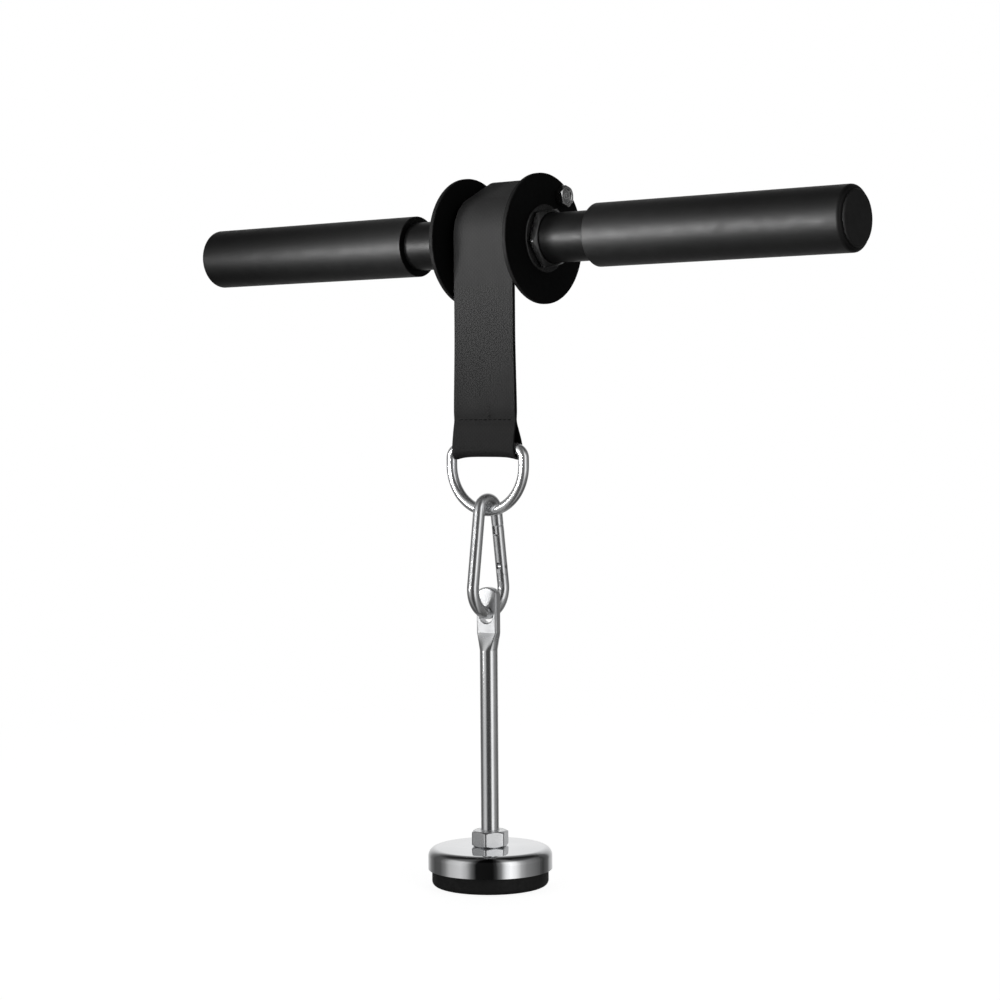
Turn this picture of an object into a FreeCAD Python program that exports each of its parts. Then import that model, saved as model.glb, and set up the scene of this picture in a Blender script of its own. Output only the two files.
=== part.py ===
"""Wrist and forearm roller: grip bar with spool, webbing strap, D-ring, snap hook and plate-loading pin.

Frame, in millimetres: the origin is the middle of the bar's axis, +X runs along the bar, +Z is up
and -Y is the side that the strap hangs on.
"""
import FreeCAD, Part
import os
from math import acos, asin, atan2, cos, degrees, hypot, pi, radians, sin, sqrt, tan

V = FreeCAD.Vector

# ---- driving dimensions -------------------------------------------------------------------------
# bar
TUBE_R = 12.7               # one-inch tube
TUBE_WALL = 1.6
TUBE_HALF = 200.0
GRIP_R = 16.0               # 32 mm rubber sleeve
GRIP_INNER = 58.4           # inner end of a grip, from the middle of the bar
GRIP_OUTER = 203.8
GRIP_EDGE = 2.2
CAP_R = 13.7
CAP_FACE = 205.2            # half of the bar's whole length
CAP_EDGE = 1.2
CAP_PLUG = 14.0
CAP_PLUG_WALL = 2.0
CUT_EDGE = 0.5              # rounding of a trimmed or turned rim
# spool
SLEEVE_R = 14.5
FLANGE_R = 33.3
FLANGE_OUTER = 24.6         # outer face of a flange, from the middle of the bar
FLANGE_T = 2.4
WASHER_R = 17.4
WASHER_T = 1.2
HUB_NUT_AF = 28.6
HUB_NUT_T = 4.4
HUB_NUT_TURN = 40.0         # angle of a corner, in degrees
# cross bolt that anchors the strap, M6
BOLT_R = 3.0
BOLT_Y = 14.8
BOLT_Z = 22.3
BOLT_AF = 10.0
BOLT_HEAD = 4.0
BOLT_NUT = 5.0
BOLT_END = 2.0              # thread past the nut
# webbing
STRAP_W = 38.0
STRAP_T = 1.2               # one layer
STRAP_FRONT = -20.0         # Y of the hanging strap's front face
ROLL_FRONT_R = 21.5         # outer curve of the wound strap, front
ROLL_FRONT_Z = 3.0          # Z of that curve's centre
ROLL_BOLT_R = 10.0          # outer curve over the cross bolt
ROLL_LOW_R = 18.5           # outer curve under the bar
ROLL_LEVEL = -2.5           # Z of that curve's centre, where the strap leaves the roll
SWING_Z = -22.0             # Z of the line that the hanging strap swings about
SOFT_GAP = 0.3              # room round a soft part
LOOP_TOP = -92.0            # Z of the stitching above the D-ring loop
# D-ring
RING_WIRE_R = 2.8
RING_Y = -17.3              # Y of everything that hangs below the strap
RING_BAR_Z = -106.7
RING_HALF = 23.2            # half width at the wire's centre
RING_CORNER = 5.0
# snap hook
HOOK_WIRE_R = 3.1
HOOK_TOP_R = 7.2            # wire's centre line, small end
HOOK_LOW_R = 12.7           # wire's centre line, large end
HOOK_TOP_Z = -132.6         # wire's centre at the very top
HOOK_LOW_Z = -191.0         # wire's centre at the very bottom
RUN_GAP = 0.05              # running clearance of metal on metal
GATE_NOSE_Z = -146.2        # Z where the gate meets the nose
GATE_PIVOT_Z = -167.6
GATE_FOOT_R = 4.0           # the gate's lower end is turned to this radius about the rivet
GATE_SEAT_R = 4.2           # hollow in the hook's tail that the gate's lower end turns in
GATE_SEAT_TOP = -2.5        # upper end of the tail, from the rivet
GATE_TIP_GAP = 0.15
GATE_TIP_EDGE = 0.35
GATE_LIP = 4.6              # depth of the nose tongue in the gate's slot
TONGUE_T = 2.2
TONGUE_HALF = 2.9           # half depth of the pivot tongue
SLOT_W = 2.8
SLOT_TOP = 2.5              # upper end of the pivot slot, from the rivet
PIVOT_R = 1.0
SPRING_ROOM = 2.2           # bore for the gate's spring, diameter
# loading pin
EYE_W = 12.6
EYE_T = 4.4
EYE_TOP_Z = -177.6
EYE_CROWN = 2.6             # rise of the eye's curved top edge
EYE_CORNER = 2.2
EYE_EDGE = 0.9              # rounding along the eye's long edges
EYE_HOLE_R = 4.15
EYE_CHAMFER = 0.6
EYE_LOW_Z = -201.0          # the flat eye ends here
ROD_TOP_Z = -210.0          # the round rod starts here
ROD_R = 4.6
ROD_END_Z = -320.6
# foot
NUT_AF = 17.0               # M10 nut
NUT_T = 8.2
NUT_TURN = -7.7             # angle of a corner, in degrees
SEAT_Z = -310.8             # flat crown of the cup
SEAT_R = 11.0
CUP_R = 31.9
CUP_RIM_Z = -311.1          # where the crown meets the rim's round
CUP_EDGE = 4.5
CUP_SWELL = 0.25            # rise of the crown between the seat and the rim
CUP_LOW_Z = -322.2
CUP_WALL = 1.2
PAD_R = 29.95
PAD_LOW_Z = -330.8
PAD_EDGE = 2.6
PAD_SHOULDER = 3.4          # rounding of the hidden upper edge
PAD_GAP = 0.1
POCKET_R = 11.5
POCKET_Z = -323.0

AXIS_X = V(1, 0, 0)
AXIS_Y = V(0, 1, 0)
AXIS_Z = V(0, 0, 1)


# ---- helpers ------------------------------------------------------------------------------------
def cylinder_x(radius, x0, x1, y=0.0, z=0.0):
    """Round bar along X."""
    return Part.makeCylinder(radius, x1 - x0, V(x0, y, z), AXIS_X)


def box(x0, x1, y0, y1, z0, z1):
    return Part.makeBox(x1 - x0, y1 - y0, z1 - z0, V(x0, y0, z0))


def revolve(points, base, axis):
    """Solid turned from an outline given as a list of corner points."""
    face = Part.Face(Part.makePolygon(points + [points[0]]))
    return face.revolve(base, axis, 360)


def hexagon(across_flats, height, base, axis, turn):
    """Hexagonal prism with its corners turned off at both ends, as on a nut."""
    corner = across_flats / sqrt(3)
    ring = [V(corner * cos(radians(turn + 60 * k)), corner * sin(radians(turn + 60 * k)), 0)
            for k in range(6)]
    prism = Part.Face(Part.makePolygon(ring + [ring[0]])).extrude(V(0, 0, height))
    bevel = (corner - across_flats / 2) * tan(radians(30))
    inner = across_flats / 2 * 0.97
    turned = revolve([V(0, 0, 0), V(inner, 0, 0), V(corner, 0, bevel * 1.4),
                      V(corner, 0, height - bevel * 1.4), V(inner, 0, height), V(0, 0, height)],
                     V(0, 0, 0), AXIS_Z)
    solid = prism.common(turned)
    solid.Placement = FreeCAD.Placement(base, FreeCAD.Rotation(AXIS_Z, axis))
    return solid


def belt(centre_a, radius_a, centre_b, radius_b):
    """Corners where a belt round two circles in the YZ plane touches them.

    Gives the touching points on each side, as (on a, on b) for the left and for the right of the
    way from a to b.
    """
    dy, dz = centre_b[0] - centre_a[0], centre_b[1] - centre_a[1]
    run = hypot(dy, dz)
    heading = atan2(dz, dy)
    spread = acos((radius_a - radius_b) / run)
    sides = []
    for sign in (1, -1):
        ny, nz = cos(heading + sign * spread), sin(heading + sign * spread)
        sides.append(((centre_a[0] + radius_a * ny, centre_a[1] + radius_a * nz),
                      (centre_b[0] + radius_b * ny, centre_b[1] + radius_b * nz)))
    return sides


def slab(edges, width):
    """Closed outline in the YZ plane, pulled out along X to the given width about X = 0."""
    face = Part.Face(Part.Wire(edges))
    face.translate(V(-width / 2, 0, 0))
    return face.extrude(V(width, 0, 0))


def at(point, x=0.0):
    return V(x, point[0], point[1])


def arc(start, middle, end):
    return Part.Arc(at(start), at(middle), at(end)).toShape()


def line(start, end):
    return Part.makeLine(at(start), at(end))


def on_circle(centre, radius, degrees):
    return (centre[0] + radius * cos(radians(degrees)), centre[1] + radius * sin(radians(degrees)))


def teardrop(small, small_r, large, large_r, width):
    """Belt-shaped slab round a small circle above a large one."""
    left, right = belt(small, small_r, large, large_r)
    top = on_circle(small, small_r, 90 + degrees_off(small, large))
    low = on_circle(large, large_r, 270 + degrees_off(small, large))
    return slab([arc(left[0], top, right[0]), line(right[0], right[1]),
                 arc(right[1], low, left[1]), line(left[1], left[0])], width)


def degrees_off(upper, lower):
    """Lean of the line between two points from the vertical."""
    return degrees(atan2(lower[0] - upper[0], upper[1] - lower[1]))


def wire_along(edges, radius):
    """Round wire swept along a smooth chain of lines and arcs."""
    path = Part.Wire(edges)
    start = edges[0].valueAt(edges[0].FirstParameter)
    heading = edges[0].tangentAt(edges[0].FirstParameter)
    section = Part.Wire(Part.makeCircle(radius, start, heading))
    return path.makePipeShell([section], True, False)


def mirror_x(shape):
    return shape.mirror(V(0, 0, 0), AXIS_X)


# ---- bar ----------------------------------------------------------------------------------------
def make_tube():
    return cylinder_x(TUBE_R, -TUBE_HALF, TUBE_HALF).cut(
        cylinder_x(TUBE_R - TUBE_WALL, -TUBE_HALF - 1, TUBE_HALF + 1))


def make_grip():
    """Right-hand rubber sleeve, round at its outer edge and cut square at its inner end."""
    sleeve = cylinder_x(GRIP_R, GRIP_INNER, GRIP_OUTER)
    rims = [e for e in sleeve.Edges if abs(e.CenterOfMass.x - GRIP_OUTER) < 0.01 and e.Length > 1]
    sleeve = sleeve.makeFillet(GRIP_EDGE, rims)
    rims = [e for e in sleeve.Edges
            if abs(e.CenterOfMass.x - GRIP_INNER) < 0.01 and e.Length > 6 * GRIP_R]
    sleeve = sleeve.makeFillet(CUT_EDGE, rims)
    sleeve = sleeve.cut(cylinder_x(TUBE_R, GRIP_INNER - 1, TUBE_HALF))
    return sleeve.cut(cylinder_x(CAP_R + 0.15, TUBE_HALF, CAP_FACE + 1))


def make_end_cap():
    """Right-hand end plug: a round head over the tube's end and a hollow shank inside it."""
    head = cylinder_x(CAP_R, TUBE_HALF, CAP_FACE)
    rims = [e for e in head.Edges if abs(e.CenterOfMass.x - CAP_FACE) < 0.01 and e.Length > 1]
    head = head.makeFillet(CAP_EDGE, rims)
    bore = TUBE_R - TUBE_WALL
    shank = cylinder_x(bore, TUBE_HALF - CAP_PLUG, TUBE_HALF)
    hollow = cylinder_x(bore - CAP_PLUG_WALL, TUBE_HALF - CAP_PLUG - 1, TUBE_HALF - 1)
    return head.fuse(shank).cut(hollow).removeSplitter()


def make_flange():
    """Right-hand spool flange, with a bore for the tube and a hole for the cross bolt."""
    disc = cylinder_x(FLANGE_R, FLANGE_OUTER - FLANGE_T, FLANGE_OUTER)
    disc = disc.makeFillet(CUT_EDGE, [e for e in disc.Edges if e.Length > 6 * FLANGE_R])
    disc = disc.cut(cylinder_x(TUBE_R, 0, FLANGE_OUTER + 1))
    return disc.cut(cylinder_x(BOLT_R + 0.2, 0, FLANGE_OUTER + 1, BOLT_Y, BOLT_Z))


def make_spool_sleeve():
    inner_face = FLANGE_OUTER - FLANGE_T
    return cylinder_x(SLEEVE_R, -inner_face, inner_face).cut(
        cylinder_x(TUBE_R, -inner_face - 1, inner_face + 1))


def make_hub_washer():
    washer = cylinder_x(WASHER_R, FLANGE_OUTER, FLANGE_OUTER + WASHER_T)
    washer = washer.makeChamfer(0.3, [e for e in washer.Edges
                                      if abs(e.CenterOfMass.x - FLANGE_OUTER - WASHER_T) < 0.01])
    return washer.cut(cylinder_x(TUBE_R, 0, FLANGE_OUTER + WASHER_T + 1))


def make_hub_nut():
    start = FLANGE_OUTER + WASHER_T
    nut = hexagon(HUB_NUT_AF, HUB_NUT_T, V(start, 0, 0), AXIS_X, HUB_NUT_TURN)
    return nut.cut(cylinder_x(TUBE_R, start - 1, start + HUB_NUT_T + 1))


def make_cross_bolt():
    """Hex-head bolt through both flanges, head on the right."""
    tip = -FLANGE_OUTER - BOLT_NUT - BOLT_END
    shank = cylinder_x(BOLT_R, tip, FLANGE_OUTER, BOLT_Y, BOLT_Z)
    shank = shank.makeChamfer(0.6, [e for e in shank.Edges if abs(e.CenterOfMass.x - tip) < 0.01])
    head = hexagon(BOLT_AF, BOLT_HEAD, V(FLANGE_OUTER, BOLT_Y, BOLT_Z), AXIS_X, 12)
    return shank.fuse(head).removeSplitter()


def make_cross_bolt_nut():
    """Self-locking nut: a hexagon with a round collar."""
    body = hexagon(BOLT_AF, BOLT_NUT - 1.2, V(-FLANGE_OUTER, BOLT_Y, BOLT_Z), V(-1, 0, 0), 5)
    collar = cylinder_x(BOLT_AF / 2 - 0.4, -FLANGE_OUTER - BOLT_NUT, -FLANGE_OUTER - 1,
                        BOLT_Y, BOLT_Z)
    hole = cylinder_x(BOLT_R, -FLANGE_OUTER - BOLT_NUT - 1, -FLANGE_OUTER + 1, BOLT_Y, BOLT_Z)
    return body.fuse(collar).removeSplitter().cut(hole)


# ---- strap --------------------------------------------------------------------------------------
STRAP_BACK = STRAP_FRONT + 2 * STRAP_T
STRAP_MID = STRAP_FRONT + STRAP_T


def make_strap_roll():
    """Wound strap over the spool and the cross bolt, with the short straight tail that leaves it."""
    front = (STRAP_FRONT + ROLL_FRONT_R, ROLL_FRONT_Z)
    low = (STRAP_FRONT + ROLL_LOW_R, ROLL_LEVEL)
    bolt = (BOLT_Y, BOLT_Z)
    leave = (STRAP_FRONT, ROLL_LEVEL)
    rise = (STRAP_FRONT, ROLL_FRONT_Z)
    front_touch, bolt_top = belt(front, ROLL_FRONT_R, bolt, ROLL_BOLT_R)[0]
    low_touch, bolt_touch = belt(low, ROLL_LOW_R, bolt, ROLL_BOLT_R)[1]
    edges = [line(leave, rise), arc(rise, on_circle(front, ROLL_FRONT_R, 148), front_touch),
             line(front_touch, bolt_top), arc(bolt_top, on_circle(bolt, ROLL_BOLT_R, 50), bolt_touch),
             line(bolt_touch, low_touch), arc(low_touch, on_circle(low, ROLL_LOW_R, 270), leave)]
    roll = slab(edges, STRAP_W)
    tail_end = SWING_Z + STRAP_T + SOFT_GAP
    tail = box(-STRAP_W / 2, STRAP_W / 2, STRAP_FRONT, STRAP_BACK, tail_end, ROLL_LEVEL)
    roll = roll.fuse(tail).removeSplitter()
    roll = roll.cut(cylinder_x(SLEEVE_R, -STRAP_W, STRAP_W))
    return roll.cut(cylinder_x(BOLT_R, -STRAP_W, STRAP_W, BOLT_Y, BOLT_Z))


def make_strap_hanging():
    """Doubled strap below the roll, with the sewn loop that holds the D-ring's bar."""
    swing = (STRAP_MID, SWING_Z)
    stitch = (STRAP_MID, LOOP_TOP)
    bar = (RING_Y, RING_BAR_Z)
    room = RING_WIRE_R + SOFT_GAP
    doubled = teardrop(swing, STRAP_T, stitch, STRAP_T, STRAP_W)
    loop = teardrop(stitch, STRAP_T, bar, room + STRAP_T, STRAP_W)
    hollow = teardrop((STRAP_MID, LOOP_TOP - 2.0), 0.2, bar, room, STRAP_W + 2)
    return doubled.fuse(loop).removeSplitter().cut(hollow)


# ---- D-ring -------------------------------------------------------------------------------------
RING_LOW_Z = HOOK_TOP_Z - HOOK_WIRE_R - RING_WIRE_R - RUN_GAP
RING_BOW_Z = RING_LOW_Z + RING_HALF


def make_d_ring():
    """Bent and welded wire: a straight bar, two tight corners and a half-round bow."""
    def point(x, z):
        return V(x, RING_Y, z)
    bar_half = RING_HALF - RING_CORNER
    side_z = RING_BAR_Z - RING_CORNER
    bend = RING_CORNER * sin(radians(45))
    edges = [
        Part.makeLine(point(-bar_half, RING_BAR_Z), point(bar_half, RING_BAR_Z)),
        Part.Arc(point(bar_half, RING_BAR_Z), point(bar_half + bend, side_z + bend),
                 point(RING_HALF, side_z)).toShape(),
        Part.makeLine(point(RING_HALF, side_z), point(RING_HALF, RING_BOW_Z)),
        Part.Arc(point(RING_HALF, RING_BOW_Z), point(0, RING_LOW_Z),
                 point(-RING_HALF, RING_BOW_Z)).toShape(),
        Part.makeLine(point(-RING_HALF, RING_BOW_Z), point(-RING_HALF, side_z)),
        Part.Arc(point(-RING_HALF, side_z), point(-bar_half - bend, side_z + bend),
                 point(-bar_half, RING_BAR_Z)).toShape()]
    return wire_along(edges, RING_WIRE_R)


# ---- snap hook ----------------------------------------------------------------------------------
HOOK_SMALL = (RING_Y, HOOK_TOP_Z - HOOK_TOP_R)
HOOK_LARGE = (RING_Y, HOOK_LOW_Z + HOOK_LOW_R)
BACK_SIDE, FRONT_SIDE = belt(HOOK_SMALL, HOOK_TOP_R, HOOK_LARGE, HOOK_LOW_R)
LEG_RUN = hypot(BACK_SIDE[1][0] - BACK_SIDE[0][0], BACK_SIDE[1][1] - BACK_SIDE[0][1])
LEG_LEAN = asin((BACK_SIDE[1][0] - BACK_SIDE[0][0]) / LEG_RUN)


def on_gate_leg(z, off=0.0):
    """Point on the back leg's centre line at height z, moved outwards by off."""
    share = (z - BACK_SIDE[0][1]) / (BACK_SIDE[1][1] - BACK_SIDE[0][1])
    y = BACK_SIDE[0][0] + share * (BACK_SIDE[1][0] - BACK_SIDE[0][0])
    return (y + off * cos(LEG_LEAN), z + off * sin(LEG_LEAN))


def leg_piece(shape, z):
    """Shape made upright at the origin, with +Z along the leg, set on the back leg at height z."""
    spot = on_gate_leg(z)
    shape.Placement = FreeCAD.Placement(at(spot), FreeCAD.Rotation(AXIS_X, degrees(LEG_LEAN)))
    return shape


GATE_RUN = (GATE_NOSE_Z - GATE_PIVOT_Z) / cos(LEG_LEAN)      # from the rivet up to the gate's tip


def make_snap_hook():
    """Pear-shaped wire body, open where the gate lies, with a flat tongue at each side of it."""
    nose = on_gate_leg(GATE_NOSE_Z + GATE_TIP_GAP)
    tail = on_gate_leg(GATE_PIVOT_Z + GATE_SEAT_TOP)
    spot = on_gate_leg(GATE_PIVOT_Z)
    body = wire_along([
        Part.makeLine(at(nose), at(BACK_SIDE[0])),
        arc(BACK_SIDE[0], (RING_Y, HOOK_TOP_Z), FRONT_SIDE[0]),
        line(FRONT_SIDE[0], FRONT_SIDE[1]),
        arc(FRONT_SIDE[1], (RING_Y, HOOK_LOW_Z), BACK_SIDE[1]),
        line(BACK_SIDE[1], tail)], HOOK_WIRE_R)
    body = body.cut(cylinder_x(GATE_SEAT_R, -9, 9, spot[0], spot[1]))
    tongue_t = TONGUE_T / 2
    nose_tongue = leg_piece(box(-tongue_t, tongue_t, -1.7, 2.6, -GATE_LIP, 0.6), GATE_NOSE_Z)
    catch = leg_piece(box(-tongue_t, tongue_t, 2.0, 3.7, -GATE_LIP, -GATE_LIP + 1.8), GATE_NOSE_Z)
    pivot_tongue = leg_piece(
        box(-tongue_t, tongue_t, -TONGUE_HALF, TONGUE_HALF, -GATE_SEAT_R - 1, -1).fuse(
            cylinder_x(2 * PIVOT_R, -tongue_t, tongue_t)), GATE_PIVOT_Z)
    body = body.fuse([nose_tongue, catch, pivot_tongue]).removeSplitter()
    return body.cut(cylinder_x(PIVOT_R, -9, 9, spot[0], spot[1]))


def make_gate_pin():
    """Rivet of the gate, its two ends dished flush with the gate's sides."""
    spot = on_gate_leg(GATE_PIVOT_Z)
    return cylinder_x(PIVOT_R, -HOOK_WIRE_R + 0.1, HOOK_WIRE_R - 0.1, spot[0], spot[1])


def make_hook_gate():
    """Straight gate: slotted at the top for the nose and at the bottom for the pivot tongue."""
    bar = Part.makeCylinder(HOOK_WIRE_R, GATE_RUN + GATE_FOOT_R, V(0, 0, -GATE_FOOT_R))
    bar = bar.makeChamfer(GATE_TIP_EDGE,
                          [e for e in bar.Edges if abs(e.CenterOfMass.z - GATE_RUN) < 0.01])
    bar = bar.common(box(-9, 9, -9, 9, 0, GATE_RUN + 1).fuse(cylinder_x(GATE_FOOT_R, -9, 9)))
    half = SLOT_W / 2
    bar = bar.cut(box(-half, half, -9, 9, GATE_RUN - GATE_LIP - 0.7, GATE_RUN + 1))
    bar = bar.cut(box(-half, half, -9, 9, -GATE_FOOT_R - 1, SLOT_TOP))
    bar = bar.cut(cylinder_x(PIVOT_R + RUN_GAP, -9, 9))
    bar = bar.cut(Part.makeCylinder(SPRING_ROOM / 2, 12.0, V(0, 0, 2.0)))
    return leg_piece(bar, GATE_PIVOT_Z)


def make_gate_spring():
    """Closed-up compression spring in the gate's bore."""
    radius = SPRING_ROOM / 2 - 0.35
    coil = Part.makeHelix(0.9, 6.3, radius)
    section = Part.Wire(Part.makeCircle(0.22, V(radius, 0, 0), V(0, radius, 0.9 / (2 * pi))))
    spring = Part.Wire(coil.Edges).makePipeShell([section], True, True)
    spring.translate(V(0, 0, 7.0))
    return leg_piece(Part.Compound([spring]), GATE_PIVOT_Z)


def make_gate_plunger():
    """Small pin between the spring and the pivot tongue."""
    pin = Part.makeCylinder(SPRING_ROOM / 2 - 0.1, 3.6, V(0, 0, 2.9))
    return leg_piece(pin, GATE_PIVOT_Z)


# ---- loading pin --------------------------------------------------------------------------------
EYE_HOLE_Z = HOOK_LOW_Z + HOOK_WIRE_R + 0.18 - EYE_HOLE_R


def eye_end(half, thick):
    """Rounded rectangle where the flat eye ends."""
    z = EYE_LOW_Z
    r = EYE_EDGE
    bend = r * (1 - cos(radians(45)))
    edges = []
    for sx, sy, swap in ((1, -1, False), (1, 1, True), (-1, 1, False), (-1, -1, True)):
        on_x = V(sx * (half - r), sy * thick, z)
        on_y = V(sx * half, sy * (thick - r), z)
        middle = V(sx * (half - bend), sy * (thick - bend), z)
        start, end = (on_y, on_x) if swap else (on_x, on_y)
        if edges:
            edges.append(Part.makeLine(edges[-1].valueAt(edges[-1].LastParameter), start))
        edges.append(Part.Arc(start, middle, end).toShape())
    edges.append(Part.makeLine(edges[-1].valueAt(edges[-1].LastParameter),
                               edges[0].valueAt(edges[0].FirstParameter)))
    return Part.Wire(edges)


def rod_start():
    """The rod's circle in eight arcs, to match the rounded rectangle's four corners and sides."""
    def point(angle):
        return V(ROD_R * cos(radians(angle)), ROD_R * sin(radians(angle)), ROD_TOP_Z)
    marks = [-50, -40, 40, 50, 130, 140, 220, 230, 310]
    return Part.Wire([Part.Arc(point(a), point((a + b) / 2), point(b)).toShape()
                      for a, b in zip(marks, marks[1:])])


def make_loading_rod():
    """Round rod forged flat at the top into an eye."""
    half = EYE_W / 2
    thick = EYE_T / 2
    side_top = EYE_TOP_Z - EYE_CROWN
    crown = [V(-half, -thick, side_top), V(0, -thick, EYE_TOP_Z), V(half, -thick, side_top)]
    low = [V(half, -thick, EYE_LOW_Z), V(-half, -thick, EYE_LOW_Z)]
    outline = Part.Wire([Part.Arc(*crown).toShape(), Part.makeLine(crown[2], low[0]),
                         Part.makeLine(low[0], low[1]), Part.makeLine(low[1], crown[0])])
    plate = Part.Face(outline).extrude(V(0, EYE_T, 0))
    corners = [e for e in plate.Edges if abs(e.CenterOfMass.z - side_top) < 0.01
               and abs(e.Length - EYE_T) < 0.01]
    plate = plate.makeFillet(EYE_CORNER, corners)
    plate = plate.makeFillet(EYE_EDGE, [e for e in plate.Edges if e.CenterOfMass.z > EYE_LOW_Z + 1
                                        and abs(abs(e.CenterOfMass.y) - thick) < 0.01])
    neck = Part.makeLoft([eye_end(half, thick), rod_start()], True, True)
    rod = Part.makeCylinder(ROD_R, ROD_TOP_Z - ROD_END_Z, V(0, 0, ROD_END_Z))
    rod = rod.makeChamfer(0.8, [e for e in rod.Edges if abs(e.CenterOfMass.z - ROD_END_Z) < 0.01])
    whole = plate.fuse([neck, rod]).removeSplitter()
    hole = Part.makeCylinder(EYE_HOLE_R, 2 * EYE_T, V(0, -EYE_T, EYE_HOLE_Z), AXIS_Y)
    sink = EYE_HOLE_R + EYE_CHAMFER
    for side in (1, -1):
        hole = hole.fuse(Part.makeCone(sink, EYE_HOLE_R, EYE_CHAMFER,
                                       V(0, side * thick, EYE_HOLE_Z), V(0, -side, 0)))
    whole = whole.cut(hole)
    whole.translate(V(0, RING_Y, 0))
    return whole


def make_foot_nut(base_z):
    nut = hexagon(NUT_AF, NUT_T, V(0, RING_Y, base_z), AXIS_Z, NUT_TURN)
    return nut.cut(Part.makeCylinder(ROD_R, NUT_T + 2, V(0, RING_Y, base_z - 1)))


def make_foot_cup():
    """Pressed cup: a flat seat, a shallow crown, a round edge and a straight skirt."""
    def profile(inset):
        skirt = CUP_R - inset
        shoulder = CUP_R - CUP_EDGE
        rim = V(shoulder, 0, CUP_RIM_Z - inset)
        seat = V(SEAT_R, 0, SEAT_Z - inset)
        swell = V((shoulder + SEAT_R) / 2, 0, (CUP_RIM_Z + SEAT_Z) / 2 - inset + CUP_SWELL)
        edge = CUP_EDGE - inset
        turn = V(shoulder + edge * sin(radians(45)), 0,
                 CUP_RIM_Z - CUP_EDGE + edge * sin(radians(45)))
        side = V(skirt, 0, CUP_RIM_Z - CUP_EDGE)
        low = V(skirt, 0, CUP_LOW_Z)
        axis_low, axis_top = V(0, 0, CUP_LOW_Z), V(0, 0, SEAT_Z - inset)
        edges = [Part.makeLine(axis_top, seat), Part.Arc(seat, swell, rim).toShape(),
                 Part.Arc(rim, turn, side).toShape(), Part.makeLine(side, low),
                 Part.makeLine(low, axis_low), Part.makeLine(axis_low, axis_top)]
        return Part.Face(Part.Wire(edges)).revolve(V(0, 0, 0), AXIS_Z, 360)
    shell = profile(0).cut(profile(CUP_WALL))
    shell = shell.cut(Part.makeCylinder(ROD_R + 0.3, 20, V(0, 0, CUP_LOW_Z)))
    shell.translate(V(0, RING_Y, 0))
    return shell


def make_foot_pad():
    """Rubber pad pressed into the cup, with a pocket for the nut that holds the cup."""
    top = CUP_RIM_Z - CUP_WALL - PAD_GAP
    pad = Part.makeCylinder(PAD_R, top - PAD_LOW_Z, V(0, 0, PAD_LOW_Z))
    for level, radius in ((PAD_LOW_Z, PAD_EDGE), (top, PAD_SHOULDER)):
        rim = [e for e in pad.Edges if abs(e.CenterOfMass.z - level) < 0.01]
        pad = pad.makeFillet(radius, rim)
    pad = pad.cut(Part.makeCylinder(POCKET_R, 20, V(0, 0, POCKET_Z)))
    pad.translate(V(0, RING_Y, 0))
    return pad


NODES = {
    "roller_tube": make_tube(),
    "grip_right": make_grip(),
    "grip_left": mirror_x(make_grip()),
    "end_cap_right": make_end_cap(),
    "end_cap_left": mirror_x(make_end_cap()),
    "spool_sleeve": make_spool_sleeve(),
    "flange_right": make_flange(),
    "flange_left": mirror_x(make_flange()),
    "hub_washer_right": make_hub_washer(),
    "hub_washer_left": mirror_x(make_hub_washer()),
    "hub_nut_right": make_hub_nut(),
    "hub_nut_left": mirror_x(make_hub_nut()),
    "cross_bolt": make_cross_bolt(),
    "cross_bolt_nut": make_cross_bolt_nut(),
    "strap_roll": make_strap_roll(),
    "strap_hanging": make_strap_hanging(),
    "d_ring": make_d_ring(),
    "snap_hook": make_snap_hook(),
    "gate_pin": make_gate_pin(),
    "hook_gate": make_hook_gate(),
    "gate_spring": make_gate_spring(),
    "gate_plunger": make_gate_plunger(),
    "loading_rod": make_loading_rod(),
    "foot_nut": make_foot_nut(SEAT_Z),
    "foot_inner_nut": make_foot_nut(SEAT_Z - CUP_WALL - NUT_T),
    "foot_cup": make_foot_cup(),
    "foot_pad": make_foot_pad(),
}

os.makedirs("parts", exist_ok=True)
for name, shape in NODES.items():
    shape.exportStep("parts/" + name + ".step")
    print("%-18s solids %d valid %s volume %9.1f mm3" % (
        name, len(shape.Solids), shape.isValid(), shape.Volume))
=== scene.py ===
"""Looks of the wrist and forearm roller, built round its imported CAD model.

Everything is in the row's frame: metres, +X along the bar, +Z up, the strap hangs on the -Y side.
Shapes are worked out in millimetres and scaled by MM when a mesh is made.
"""
import math

import bmesh
import bpy
from mathutils import Matrix, Vector


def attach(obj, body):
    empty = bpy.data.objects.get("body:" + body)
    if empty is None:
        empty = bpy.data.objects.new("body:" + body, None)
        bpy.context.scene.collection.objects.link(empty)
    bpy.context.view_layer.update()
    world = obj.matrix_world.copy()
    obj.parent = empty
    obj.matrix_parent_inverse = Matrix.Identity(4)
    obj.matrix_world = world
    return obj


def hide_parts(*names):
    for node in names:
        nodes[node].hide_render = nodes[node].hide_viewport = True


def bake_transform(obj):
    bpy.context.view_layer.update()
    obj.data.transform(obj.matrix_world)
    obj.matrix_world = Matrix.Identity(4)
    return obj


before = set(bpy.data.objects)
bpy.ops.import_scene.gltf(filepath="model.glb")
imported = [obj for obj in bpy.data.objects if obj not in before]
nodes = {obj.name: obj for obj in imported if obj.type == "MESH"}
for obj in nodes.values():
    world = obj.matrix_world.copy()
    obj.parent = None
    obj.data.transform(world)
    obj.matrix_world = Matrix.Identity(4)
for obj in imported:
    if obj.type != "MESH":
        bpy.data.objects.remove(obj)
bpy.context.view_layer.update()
scene = bpy.context.scene
MM = 0.001


# ---- mesh helpers -------------------------------------------------------------------------------
def smoothstep(t):
    """Eases from 0 to 1 as t goes from 0 to 1."""
    t = min(1.0, max(0.0, t))
    return t * t * (3.0 - 2.0 * t)


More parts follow.
